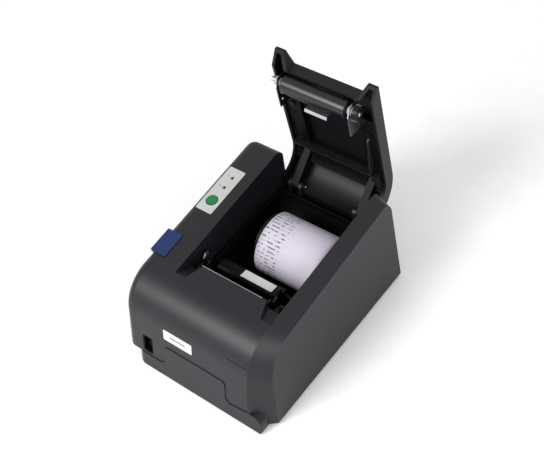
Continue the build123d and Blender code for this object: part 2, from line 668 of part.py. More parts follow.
def gear(teeth, width, bore, phase):
    """Spur gear along X with its face at X 0; phase turns a tooth to that angle from +Y."""
    pitch_r = teeth * GEAR_MODULE / 2
    root_r = pitch_r - 1.25 * GEAR_MODULE
    tip_r = pitch_r + 0.9 * GEAR_MODULE
    step = 2 * math.pi / teeth
    points = []
    for i in range(teeth):
        middle = math.radians(phase) + i * step
        for radius, share in ((root_r, -0.33), (tip_r, -0.10), (tip_r, 0.10), (root_r, 0.33)):
            angle = middle + share * step
            points.append((radius * math.cos(angle), radius * math.sin(angle)))
    face = make_face(Polyline(*points, close=True))
    wheel = extrude(Plane.YZ * face, amount=width)
    return wheel - rod(bore, -1, width + 1, 0, 0)


def direction(y0, z0, y1, z1):
    return math.degrees(math.atan2(z1 - z0, y1 - y0))


def idler_gear():
    """Idler between the motor and the platen's gear; a tooth points at the platen."""
    phase = direction(IDLER_Y, IDLER_Z, PLATEN_Y, PLATEN_Z)
    return Pos(PLATEN_GEAR_X, IDLER_Y, IDLER_Z) * gear(
        IDLER_TEETH, GEAR_WIDTH, IDLER_PIN_R + RUNNING_GAP, phase)


def pinion_phase():
    """Turn of the pinion that puts one of its gaps on the idler's tooth nearest the line of centres."""
    line = direction(IDLER_Y, IDLER_Z, PINION_Y, PINION_Z)
    step = 360.0 / IDLER_TEETH
    offset = (direction(IDLER_Y, IDLER_Z, PLATEN_Y, PLATEN_Z) - line) % step
    gap_offset = -offset * IDLER_TEETH / PINION_TEETH
    return line + 180.0 + 180.0 / PINION_TEETH + gap_offset


def motor_pinion():
    """Motor shaft with its pinion."""
    wheel = Pos(PLATEN_GEAR_X, PINION_Y, PINION_Z) * gear(
        PINION_TEETH, GEAR_WIDTH, MOTOR_SHAFT_R, pinion_phase())
    return wheel + rod(MOTOR_SHAFT_R, SEAT_RIGHT_X - SEAT_T + 0.3, PLATEN_GEAR_X + GEAR_WIDTH, PINION_Y, PINION_Z)


def idler_pin():
    return rod(IDLER_PIN_R, SEAT_RIGHT_X - SEAT_T, PLATEN_GEAR_X + GEAR_WIDTH + 0.8, IDLER_Y, IDLER_Z)


def stepper_motor():
    x1 = SEAT_RIGHT_X - SEAT_T
    can = rod(MOTOR_R, x1 - MOTOR_LENGTH, x1, PINION_Y, PINION_Z)
    can -= rod(MOTOR_SHAFT_R + 0.3, x1 - 2, x1 + 1, PINION_Y, PINION_Z)
    return can


# ================================================================ release latch and button


def release_latch():
    """Sheet metal hook that holds the left end of the platen's shaft."""
    over = PLATEN_SHAFT_R + 0.35
    points = [
        (LATCH_Y - 4, LATCH_Z - 3),
        (LATCH_Y + 4, LATCH_Z - 3),
        (PLATEN_Y + over + 3.6, PLATEN_Z - 6),
        (PLATEN_Y + over + 3.2, PLATEN_Z + over + 2.4),
        (PLATEN_Y + over, PLATEN_Z + over + 3.2),
        (PLATEN_Y - 0.4, PLATEN_Z + over),
        (PLATEN_Y + over, PLATEN_Z + over),
        (PLATEN_Y + over, PLATEN_Z - 4),
        (LATCH_Y - 4, LATCH_Z + 6),
    ]
    hook = across(points, LATCH_X1 - LATCH_T, LATCH_X1)
    return hook - rod(LATCH_PIN_R + RUNNING_GAP, LATCH_X1 - 5, LATCH_X1 + 5, LATCH_Y, LATCH_Z)


def latch_pin():
    return rod(LATCH_PIN_R, LATCH_X1 - LATCH_T - 0.8, SEAT_LEFT_X - SEAT_T, LATCH_Y, LATCH_Z)


def release_button():
    """Blue cap that wraps over the left edge, with a stem towards the latch."""
    x0 = -WIDTH / 2
    half = RELEASE_L / 2
    at = on_top(x0, RELEASE_Y)
    cap = block(0, RELEASE_W, -half, half, -1.6, 0.8)
    cap = fillet(cap.edges().filter_by(Axis.Z), 0.8)
    skirt = block(0, 1.8, -half + 0.8, half - 0.8, -RELEASE_SKIRT, -1.5)
    stem = block(5.0, 8.0, -5, 5, -7.0, -1.5)
    return at * (cap + skirt + stem)


# ================================================================ controls and labels
def control_label():
    label = on_top(LABEL_X, LABEL_Y) * rounded_plate(LABEL_W, LABEL_L, LABEL_T, 1.2)
    label -= top_window(LABEL_X, FEED_Y, 2 * FEED_R + 1.0, 2 * FEED_R + 1.0, FEED_R + 0.4)
    for y in LED_YS:
        label -= top_window(LABEL_X + 1.0, y, LED_W + 0.2, LED_W + 0.2, 0.3)
    return label


def led_lenses():
    """Two square light pipes that reach down to the board."""
    return [on_top(LABEL_X + 1.0, y, -6.0) * rounded_plate(LED_W, LED_W, 6.0 + LABEL_T, 0.3) for y in LED_YS]




def feed_button():
    cap = on_top(LABEL_X, FEED_Y) * (Pos(0, 0, -1.6) * Cylinder(FEED_R, 5.2))
    flange = on_top(LABEL_X, FEED_Y) * (Pos(0, 0, -WALL - 1.9) * Cylinder(FEED_R + 1.2, 1.0))
    return cap + flange


def feed_switch():
    """Small push switch under the feed button."""
    body = block(-3, 3, -3, 3, -BOARD_DROP, -BOARD_DROP + 2.4)
    return on_top(LABEL_X, FEED_Y) * (body + Pos(0, 0, -BOARD_DROP + 2.6) * Cylinder(1.6, 0.6))


def control_board():
    board = block(-7, 7, -9, 34, -BOARD_DROP - 1.6, -BOARD_DROP)
    return on_top(LABEL_X, FEED_Y) * board


def indicator_leds():
    leds = []
    for y in LED_YS:
        along = (y - FEED_Y) / math.cos(SLOPE_RAD)
        leds.append(on_top(LABEL_X, FEED_Y) * block(0.0, 2.0, along - 1, along + 1, -BOARD_DROP, -BOARD_DROP + 1.5))
    return leds


def front_label():
    x, z, width, height = FRONT_LABEL
    return on_front(x, z) * rounded_plate(width, height, 0.25, 0.6)


def power_switch_housing():
    """Rounded box in the front wall, open towards the front."""
    inner = rounded_plate(SWITCH_W - 2.4, SWITCH_H - 2.4, 9.0, 1.2)
    box = rounded_plate(SWITCH_W - 0.4, SWITCH_H - 0.4, 11.0, 1.8) - Pos(0, 0, 2.0) * inner
    box -= Pos(0, 0, 5.2) * Rot(0, 90, 0) * Cylinder(ROCKER_PIN_R + RUNNING_GAP, SWITCH_W)
    return on_front(SWITCH_X, SWITCH_Z, -11.3) * box




def power_rocker():
    """Rocker held in the switch housing on its own pins, pressed in at the top."""
    half_w = SWITCH_W / 2 - 1.6
    half_h = SWITCH_H / 2 - 2.6
    cap = block(-half_w, half_w, -half_h, half_h, -1.6, 1.4)
    cap = fillet(cap.edges().filter_by(Axis.X), 0.8)
    pins = rod(ROCKER_PIN_R, -half_w - 0.8, half_w + 0.8, 0, 0)
    return on_front(SWITCH_X, SWITCH_Z, -6.1) * Rot(-ROCKER_TILT, 0, 0) * (cap + pins)


# ================================================================ electronics


def board_screw_places():
    return [(x, y) for x in (BOARD_X0 + 5, BOARD_X1 - 5) for y in (BOARD_Y0 + 5, BOARD_Y1 - 8)]


def main_board():
    board = block(BOARD_X0, BOARD_X1, BOARD_Y0, BOARD_Y1, BOARD_Z, BOARD_Z + BOARD_T)
    for x, y in board_screw_places():
        board -= post(1.7, x, y, BOARD_Z - 1, BOARD_Z + 5)
    return board


def board_posts():
    """Posts of the base that carry the main board."""
    posts = []
    for x, y in board_screw_places():
        posts.append(post(3.2, x, y, FOOT + WALL - 0.01, BOARD_Z) - post(1.3, x, y, FOOT + WALL + 2, BOARD_Z + 1))
    return posts


def board_screws():
    screws = []
    for x, y in board_screw_places():
        screws.append(post(2.6, x, y, BOARD_Z + BOARD_T, BOARD_Z + BOARD_T + 1.6)
                      + post(1.25, x, y, BOARD_Z - 5, BOARD_Z + BOARD_T + 0.1))
    return screws




def port(x, width, height, mouth_w, mouth_h, mouth_r):
    """A socket on the board's back edge with a mouth open to the back."""
    z0 = BOARD_Z + BOARD_T
    body = block(x - width / 2, x + width / 2, BACK_Y - 15.5, BACK_Y - 1.9, z0, z0 + height)
    mouth = Plane.XZ * RectangleRounded(mouth_w, mouth_h, mouth_r)
    return body - Pos(x, BACK_Y, z0 + height / 2) * extrude(mouth, amount=12.0)


def port_panel():
    """Steel plate in the back wall, cut out round each port."""
    panel = block(PORT_X0 + 0.3, PORT_X1 - 0.3, BACK_Y - 1.8, BACK_Y - 0.6, PARTING_Z + 0.3, PORT_TOP_Z - 0.3)
    for x, width, height, *_ in PORTS.values():
        z0 = BOARD_Z + BOARD_T
        panel -= block(x - width / 2 + 1, x + width / 2 - 1, BACK_Y - 5, BACK_Y, z0 + 1, z0 + height - 1)
    return panel


# ================================================================ lid


def lid_shell():
    """Outer skin of the lid with its side walls, front horns and round rear end."""
    outer = slab(0, LID_REAR_R, 30, LID_X0, LID_X1)
    core = slab(LID_FLANGE, LID_REAR_R, 20, LID_X0 - 1, LID_X1 + 1)
    hollow = slab(LID_WALL, LID_REAR_R, 20, LID_X0 + LID_WALL, LID_X1 - LID_WALL)
    shell = (outer - core) & horn_outline(0)
    shell -= hollow & horn_outline(-LID_WALL)
    below = block(-BIG, BIG, 0, LID_FRONT_Y, 0, BIG) - ramp(-NOTCH_GAP, LID_FRONT_Y)
    shell -= below
    shell -= block(-BIG, BIG, -BIG, BIG, 0, LID_REAR_END_Z)
    half = ARM_W / 2 + LUG_GAP + LUG_W + LID_GAP
    for x in ARM_XS:
        shell -= block(x - half, x + half, HINGE_Y - 20, BIG, 0, HINGE_Z + LUG_R + 1)
    return shell


def lid_frame():
    """Moulded frame inside the lid with a recessed window, ribs and the two hinge arms."""
    x0 = LID_X0 + LID_WALL + 0.3
    x1 = LID_X1 - LID_WALL - 0.3
    frame = slab(LID_FRAME_IN, LID_REAR_R, 20, x0, x1)
    frame -= slab(LID_FRAME_IN + LID_FRAME_T, LID_REAR_R, 10, x0 - 1, x1 + 1)
    frame &= block(-BIG, BIG, LID_FRAME_Y0, 160, 50, BIG)
    wx0, wx1, wy0, wy1 = LID_WINDOW
    frame -= block(wx0, wx1, wy0, wy1, 50, BIG)
    for y in (wy0 - 1.5, wy1 + 1.5):
        rib = block(x0, x1, y - 1, y + 1, 50, BIG)
        rib &= slab(LID_WALL, LID_REAR_R, 20, x0, x1) - slab(LID_FRAME_IN + 0.1, LID_REAR_R, 10, x0 - 1, x1 + 1)
        frame += rib
    for x in (BRACKET_LEFT_X - BRACKET_T, BRACKET_RIGHT_X):
        frame -= block(x - 0.3, x + BRACKET_T + 0.3, 0, LID_FRONT_Y + BRACKET_REACH + 1, 50, BIG)
    for x in ARM_XS:
        frame += hinge_arm(x)
    return frame


def hinge_arm(x):
    """Arm from the frame down to the hinge pin."""
    y = HINGE_Y
    z = HINGE_Z
    points = [(y - 26, top_z(y - 26, 6.5)), (y - 14, top_z(y - 14, 9.0)), (y + 3.2, z + 2.6), (y - 3.4, z - 2.4)]
    arm = across(points, x - ARM_W / 2, x + ARM_W / 2)
    arm += rod(LUG_R - 0.2, x - ARM_W / 2, x + ARM_W / 2, y, z)
    return arm - rod(HINGE_PIN_R + RUNNING_GAP, x - ARM_W, x + ARM_W, y, z)


def hinge_pins():
    """One steel pin through each pair of lugs."""
    half = ARM_W / 2 + LUG_GAP + LUG_W
    return [rod(HINGE_PIN_R, x - half, x + half, HINGE_Y, HINGE_Z) for x in ARM_XS]


def lid_point(back, depth):
    """Side view point of the closed lid: back from the front edge and below the outer face."""
    y = LID_FRONT_Y + back * math.cos(SLOPE_RAD)
    z = top_z(y) - depth * math.cos(SLOPE_RAD)
    return (y + depth * math.sin(SLOPE_RAD), z)


def platen_bracket(x0):
    """Sheet metal plate that carries one end of the platen."""
    points = [lid_point(*p) for p in ((4, 2.3), (BRACKET_REACH, 2.3), (BRACKET_REACH, 4.3),
                                      (BRACKET_REACH - 2, 20), (12, 19.5), (4, 16))]
    plate = across(points, x0, x0 + BRACKET_T)
    return plate - rod(BUSH_R, x0 - 1, x0 + BRACKET_T + 1, PLATEN_Y, PLATEN_Z)


def platen_bushes():
    """Two plain bushes that the shaft turns in."""
    spans = ((SEAT_LEFT_X - SEAT_T, BRACKET_LEFT_X + 0.8), (SEAT_RIGHT_X - SEAT_T + 0.2, BRACKET_RIGHT_X + BRACKET_T + 1.2))
    return [rod(BUSH_R, a, b, PLATEN_Y, PLATEN_Z) - rod(PLATEN_SHAFT_R + RUNNING_GAP, a - 1, b + 1, PLATEN_Y, PLATEN_Z)
            for a, b in spans]


def platen_shaft():
    shaft = rod(PLATEN_SHAFT_R, SHAFT_LEFT_X, PLATEN_GEAR_X + GEAR_WIDTH + 1.2, PLATEN_Y, PLATEN_Z)
    return chamfer(shaft.edges().filter_by(GeomType.CIRCLE), 0.4)


def platen_rubber():
    sleeve = rod(PLATEN_R, PLATEN_X0, PLATEN_X1, PLATEN_Y, PLATEN_Z)
    return sleeve - rod(PLATEN_SHAFT_R, PLATEN_X0 - 1, PLATEN_X1 + 1, PLATEN_Y, PLATEN_Z)


def platen_gear():
    """Gear on the platen's shaft with a gap on the idler's tooth."""
    phase = direction(PLATEN_Y, PLATEN_Z, IDLER_Y, IDLER_Z) + 180.0 / PLATEN_TEETH
    return Pos(PLATEN_GEAR_X, PLATEN_Y, PLATEN_Z) * gear(PLATEN_TEETH, GEAR_WIDTH, PLATEN_SHAFT_R, phase)


def paper_strip():
    """Steel rail across the lid behind the platen."""
    points = [lid_point(*p) for p in ((18.4, 11.5), (21.6, 11.5), (21.6, 12.3), (19.2, 12.3), (19.2, 14.5), (18.4, 14.5))]
    return across(points, BRACKET_LEFT_X, BRACKET_RIGHT_X)


def lid_leaf():
    """Steel tab that stands off the rail."""
    points = [lid_point(*p) for p in ((17.8, 13.0), (18.4, 13.0), (18.4, 21.2), (20.6, 22.0), (20.4, 22.6), (17.8, 21.6))]
    return across(points, -4.0, 16.0)


def lid_screws():
    """Screws that hold the frame to the lid."""
    screws = []
    for x in (LID_WINDOW[0] - 7, LID_WINDOW[1] + 7):
        for y in (96.0, 136.0):
            head = on_top(x, y, -LID_FRAME_IN - LID_FRAME_T - 0.7) * Cylinder(2.6, 1.4)
            screws.append(head)
    return screws


def parts():
    """Every node of the machine by name."""
    base = lower_base()
    for standing in board_posts():
        base += standing
    lid = {
        "lid_shell": lid_shell(),
        "lid_frame": lid_frame(),
        "lid_screws": Compound(lid_screws()),
        "platen_bracket_left": platen_bracket(BRACKET_LEFT_X - BRACKET_T),
        "platen_bracket_right": platen_bracket(BRACKET_RIGHT_X),
        "platen_bushes": Compound(platen_bushes()),
        "paper_strip": paper_strip(),
        "lid_leaf": lid_leaf(),
        "platen_shaft": platen_shaft(),
        "platen_rubber": platen_rubber(),
        "platen_gear": platen_gear(),
    }
    nodes = {
        "upper_housing": upper_housing(),
        "lower_base": base,
        "right_side_panel": right_side_panel(),
        "rubber_feet": Compound(rubber_feet()),
        "case_screws": Compound(case_screws()),
        "paper_bin": paper_bin(),
        "bin_divider": bin_divider(),
        "paper_roll": paper_roll(),
        "roll_core": roll_core(),
        "paper_guide": paper_guide(),
        "guide_label": guide_label(),
        "paper_sensor": paper_sensor(),
        "mechanism_frame": mechanism_frame(),
        "print_head": print_head(),
        "head_heatsink": head_heatsink(),
        "head_springs": Compound(head_springs()),
        "spring_rail": spring_rail(),
        "tear_bar": tear_bar(),
        "stepper_motor": stepper_motor(),
        "motor_pinion": motor_pinion(),
        "idler_gear": idler_gear(),
        "idler_pin": idler_pin(),
        "release_latch": release_latch(),
        "latch_pin": latch_pin(),
        "release_button": release_button(),
        "control_label": control_label(),
        "led_lenses": Compound(led_lenses()),
        "feed_button": feed_button(),
        "feed_switch": feed_switch(),
        "control_board": control_board(),
        "indicator_leds": Compound(indicator_leds()),
        "front_label": front_label(),
        "power_switch_housing": power_switch_housing(),
        "power_rocker": power_rocker(),
        "main_board": main_board(),
        "board_screws": Compound(board_screws()),
        "port_panel": port_panel(),
        "hinge_pins": Compound(hinge_pins()),
    }
    for name, sizes in PORTS.items():
        nodes[name] = port(*sizes)
    for name, shape in lid.items():
        nodes[name] = opened(shape)
    return nodes


def main():
    """Move the machine so that its outline on the table is centred on the origin, and write it out."""
    nodes = parts()
    box = Compound(list(nodes.values())).bounding_box()
    home = Pos(-(box.min.X + box.max.X) / 2, -(box.min.Y + box.max.Y) / 2, 0)
    os.makedirs("parts", exist_ok=True)
    for name, shape in nodes.items():
        export_step(home * shape, "parts/" + name + ".step")
    print("shift", home.position)
    places = {"hinge": (0, HINGE_Y, HINGE_Z), "roll": (0, ROLL_Y, ROLL_Z), "idler": (0, IDLER_Y, IDLER_Z),
              "pinion": (0, PINION_Y, PINION_Z), "latch": (0, LATCH_Y, LATCH_Z)}
    for name, place in places.items():
        print(name, home * Pos(*place))
    platen = opened(Pos(0, PLATEN_Y, PLATEN_Z) * Box(1, 1, 1)).center()
    print("platen", home * Pos(platen.X, platen.Y, platen.Z))
    print("rocker", home * on_front(SWITCH_X, SWITCH_Z, -6.1))


main()
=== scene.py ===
import json
import math

import bmesh
import bpy
import numpy as np
from mathutils import Matrix, Vector


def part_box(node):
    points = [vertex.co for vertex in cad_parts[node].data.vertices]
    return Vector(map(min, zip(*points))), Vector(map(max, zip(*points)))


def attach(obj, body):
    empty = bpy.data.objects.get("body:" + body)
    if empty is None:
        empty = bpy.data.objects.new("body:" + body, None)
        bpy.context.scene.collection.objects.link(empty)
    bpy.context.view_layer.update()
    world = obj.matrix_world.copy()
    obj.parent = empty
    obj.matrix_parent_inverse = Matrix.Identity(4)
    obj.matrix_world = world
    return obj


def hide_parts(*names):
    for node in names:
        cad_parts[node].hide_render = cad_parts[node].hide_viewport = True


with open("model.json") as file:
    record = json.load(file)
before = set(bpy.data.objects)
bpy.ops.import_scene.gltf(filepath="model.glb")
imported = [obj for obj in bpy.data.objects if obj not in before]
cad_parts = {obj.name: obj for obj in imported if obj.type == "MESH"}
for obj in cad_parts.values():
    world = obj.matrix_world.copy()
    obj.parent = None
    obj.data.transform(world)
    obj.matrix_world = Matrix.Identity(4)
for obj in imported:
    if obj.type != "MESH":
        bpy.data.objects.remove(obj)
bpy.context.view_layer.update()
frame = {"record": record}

# ------------------------------------------------------------------ view
CAMERA_AZIMUTH = 44.8
CAMERA_ELEVATION = 48.9
CAMERA_ROLL = -10.1
CAMERA_DISTANCE = 0.8086
CAMERA_TARGET = Vector((-0.0047, 0.0157, 0.0700))
CAMERA_LENS = 68.97

# ------------------------------------------------------------------ places, in millimetres in the row frame
JOINTS = {joint["name"]: joint for joint in frame["record"]["behaviour"]["joints"]}
HINGE = np.array(JOINTS["lid_hinge"]["pos_m"]) * 1000
SWING = math.radians(JOINTS["lid_hinge"]["range_deg"][1])
LID_BACK = 116.5          # hinge axis to the closed lid's straight front edge
TOP_SLOPE = math.radians(5.8)
FRONT_LEAN = math.radians(11.6)
TOP_BEHIND_SHOULDER = 79.5    # height of the top 16.5 mm in front of the lid's front edge
LID_FACE_UP = TOP_BEHIND_SHOULDER + 16.5 * math.tan(TOP_SLOPE) - HINGE[2]   # front edge above the hinge axis
BORE_RADIUS = 8.0
ROLL_RADIUS = 26.0
ROLL_SIDES = 128


def corners(node):
    """Lowest and highest corner of a CAD node in millimetres."""
    low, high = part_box(node)
    return np.array(low) * 1000, np.array(high) * 1000


# ------------------------------------------------------------------ surfaces
def grid_faces(rows, columns, wrap):
    """Quads between neighbouring rows and columns of a grid; wrap joins the last column to the first."""
    row, column = np.meshgrid(np.arange(rows - 1), np.arange(columns if wrap else columns - 1), indexing="ij")
    after = (column + 1) % columns
    quads = np.stack((row * columns + column, row * columns + after,
                      (row + 1) * columns + after, (row + 1) * columns + column), axis=-1)
    return quads.reshape(-1, 4).tolist()


def add_solid(name, points, faces, body, material, smooth=True):
    """A piece from points in mm and the faces between them, its normals turned outwards."""
    mesh = bpy.data.meshes.new(name)
    mesh.from_pydata((points.reshape(-1, 3) / 1000).tolist(), [], faces)
    solid = bmesh.new()
    solid.from_mesh(mesh)
    bmesh.ops.recalc_face_normals(solid, faces=solid.faces)
    solid.to_mesh(mesh)
    solid.free()
    mesh.polygons.foreach_set("use_smooth", np.full(len(mesh.polygons), smooth))
    mesh.materials.append(material)
    piece = bpy.data.objects.new(name, mesh)
    bpy.context.scene.collection.objects.link(piece)
    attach(piece, body)
    return piece


def add_piece(name, points, body, material, bevel=0.0, smooth=True):
    """Closed skin through rings of points (rings, points per ring, 3) in mm, with its two end rings filled."""
    rings, count, _ = points.shape
    faces = grid_faces(rings, count, True)
    faces.append(list(range(count)))
    faces.append([(rings - 1) * count + k for k in range(count)])
    piece = add_solid(name, points, faces, body, MATERIALS[material], smooth)
    if bevel:
        rounding = piece.modifiers.new("rounded edges", "BEVEL")
        rounding.width = bevel / 1000
        rounding.segments = 2
        rounding.limit_method = "ANGLE"
    return piece


def turned(profile, centre, sides=96):
    """Surface of revolution: each profile point (x, radius) swept once round a line along X through centre."""
    angle = np.linspace(0, 2 * np.pi, sides, endpoint=False)
    x, radius = np.asarray(profile, float).T
    y = centre[1] + radius[:, None] * np.cos(angle)
    z = centre[2] + radius[:, None] * np.sin(angle)
    return np.stack((np.broadcast_to(x[:, None], y.shape), y, z), axis=-1)


def carried(outline, x0, x1):
    """A side view outline of (y, z) points carried straight across from x0 to x1."""
    outline = np.asarray(outline, float)
    ends = [np.column_stack((np.full(len(outline), x), outline)) for x in (x0, x1)]
    return np.stack(ends)


def raised(outline, low, high):
    """A plan outline of (x, y) points carried up from low to high, before it is placed."""
    outline = np.asarray(outline, float)
    return np.stack([np.column_stack((outline, np.full(len(outline), z))) for z in (low, high)])


def coiled(centre, radius, wire, length, turns, steps=160, sides=10):
    """Coil spring along Y: a wire circle carried along a helix, y growing evenly with the angle."""
    along = np.linspace(0, 1, steps)
    angle = along * turns * 2 * np.pi
    outward = np.stack((np.cos(angle), np.zeros(steps), np.sin(angle)), axis=-1)
    middle = centre + radius * outward + np.stack((0 * along, (along - 0.5) * length, 0 * along), axis=-1)
    ring = np.linspace(0, 2 * np.pi, sides, endpoint=False)
    return (middle[:, None] + wire * (np.cos(ring)[None, :, None] * outward[:, None]
                                      + np.sin(ring)[None, :, None] * np.array((0, 1, 0))))


def rounded_outline(width, height, radius, steps=6):
    """Rectangle about the origin with a quarter circle at each corner."""
    quarter = np.linspace(0, np.pi / 2, steps)
    points = []
    for k, (sx, sy) in enumerate(((1, 1), (-1, 1), (-1, -1), (1, -1))):
        middle = np.array((sx * (width / 2 - radius), sy * (height / 2 - radius)))
        angle = quarter + k * np.pi / 2
        points.append(middle + radius * np.column_stack((np.cos(angle), np.sin(angle))))
    return np.concatenate(points)


def placed(points, centre, tilt):
    """Points turned about X by tilt and moved to centre."""
    c, s = math.cos(tilt), math.sin(tilt)
    turn = np.array(((1, 0, 0), (0, c, -s), (0, s, c)))
    return points @ turn.T + np.asarray(centre)


def on_lid(points):
    """Points (x, back from the lid's front edge, depth below its outer face) on the open lid.

    The closed place is worked out along the sloping face first, then swung open about the hinge.
    """
    x, back, depth = np.moveaxis(points, -1, 0)
    c, s = math.cos(TOP_SLOPE), math.sin(TOP_SLOPE)
    dy = -LID_BACK + back * c + depth * s
    dz = LID_FACE_UP + back * s - depth * c
    y = HINGE[1] + dy * math.cos(SWING) + dz * math.sin(SWING)
    z = HINGE[2] - dy * math.sin(SWING) + dz * math.cos(SWING)
    return np.stack((x, y, z), axis=-1)


# ------------------------------------------------------------------ materials
def linear(code):
    """sRGB hex to linear RGBA."""
    values = [int(code[k:k + 2], 16) / 255 for k in (1, 3, 5)]
    return tuple(v / 12.92 if v <= 0.04045 else ((v + 0.055) / 1.055) ** 2.4 for v in values) + (1.0,)


def add_node(tree, kind, links=(), **settings):
    """Add one node. A setting names a property, or an input when no property has that name."""
    made = tree.nodes.new("ShaderNode" + kind)
    for key, value in settings.items():
        if hasattr(made, key):
            setattr(made, key, value)
        else:
            made.inputs[key.replace("_", " ")].default_value = value
    for source, target in links:
        tree.links.new(source, made.inputs[target])
    return made


def finish(name, low, high, rough, grain, bump=0.0, metallic=0.0, stretch=(1, 1, 1), rough_span=0.06, coat=0.0,
           specular=0.5):
    """Surface with two close colours mixed by a noise whose cell is grain mm, which also varies gloss and relief."""
    made = bpy.data.materials.new(name)
    made.use_nodes = True
    tree = made.node_tree
    shader = tree.nodes["Principled BSDF"]
    shader.inputs["Metallic"].default_value = metallic
    shader.inputs["Coat Weight"].default_value = coat
    shader.inputs["Specular IOR Level"].default_value = specular
    place = add_node(tree, "TexCoord")
    spread = add_node(tree, "Mapping", [(place.outputs["Object"], "Vector")], Scale=stretch)
    noise = add_node(tree, "TexNoise", [(spread.outputs[0], "Vector")], Scale=1000 / grain, Detail=3.0)
    broad = add_node(tree, "TexNoise", [(place.outputs["Object"], "Vector")], Scale=1000 / 35, Detail=2.0)
    both = add_node(tree, "Math", [(noise.outputs["Fac"], 0), (broad.outputs["Fac"], 1)], operation="ADD")
    ramp = add_node(tree, "ValToRGB")
    half = add_node(tree, "MapRange", [(both.outputs[0], "Value")])
    half.inputs["From Min"].default_value = 0.6
    half.inputs["From Max"].default_value = 1.4
    tree.links.new(half.outputs[0], ramp.inputs[0])
    ramp.color_ramp.elements[0].color = linear(low)
    ramp.color_ramp.elements[1].color = linear(high)
    tree.links.new(ramp.outputs[0], shader.inputs["Base Color"])
    gloss = add_node(tree, "MapRange", [(noise.outputs["Fac"], "Value")])
    gloss.inputs["To Min"].default_value = rough - rough_span
    gloss.inputs["To Max"].default_value = rough + rough_span
    tree.links.new(gloss.outputs[0], shader.inputs["Roughness"])
    if bump:
        relief = add_node(tree, "Bump", [(noise.outputs["Fac"], "Height")], Strength=0.35, Distance=bump / 1000)
        tree.links.new(relief.outputs[0], shader.inputs["Normal"])
    return made


def add_marks(material, centre, pitch, fill, reach, colour):
    """Rows of short blank dashes on a roll: a dash where the way round and the way along both fall inside fill.

    The way round is the angle about the roll's axis times its radius, so that the rows follow the curve.
    """
    tree = material.node_tree
    shader = tree.nodes["Principled BSDF"]
    paper = shader.inputs["Base Color"].links[0].from_socket
    place = add_node(tree, "TexCoord")
    home = add_node(tree, "Mapping", [(place.outputs["Object"], "Vector")], Location=tuple(-centre / 1000))
    axes = add_node(tree, "SeparateXYZ", [(home.outputs[0], 0)])
    angle = add_node(tree, "Math", [(axes.outputs[1], 0), (axes.outputs[2], 1)], operation="ARCTAN2")
    rows = add_node(tree, "Math", [(angle.outputs[0], 0)], operation="MULTIPLY")
    rows.inputs[1].default_value = ROLL_RADIUS / pitch
    row = add_node(tree, "Math", [(rows.outputs[0], 0)], operation="FRACT")
    in_row = add_node(tree, "Math", [(row.outputs[0], 0)], operation="LESS_THAN")
    in_row.inputs[1].default_value = fill
    cells = add_node(tree, "TexNoise", [(home.outputs[0], "Vector")], Scale=1000 / 2.2, Detail=0.0)
    in_cell = add_node(tree, "Math", [(cells.outputs["Fac"], 0)], operation="GREATER_THAN")
    in_cell.inputs[1].default_value = 0.5
    near = add_node(tree, "Math", [(axes.outputs[0], 0)], operation="LESS_THAN")
    near.inputs[1].default_value = reach / 1000
    one = add_node(tree, "Math", [(in_row.outputs[0], 0), (in_cell.outputs[0], 1)], operation="MULTIPLY")
    mask = add_node(tree, "Math", [(one.outputs[0], 0), (near.outputs[0], 1)], operation="MULTIPLY")
    mix = add_node(tree, "MixRGB", [(mask.outputs[0], 0), (paper, 1)], Color2=linear(colour))
    tree.links.new(mix.outputs[0], shader.inputs["Base Color"])


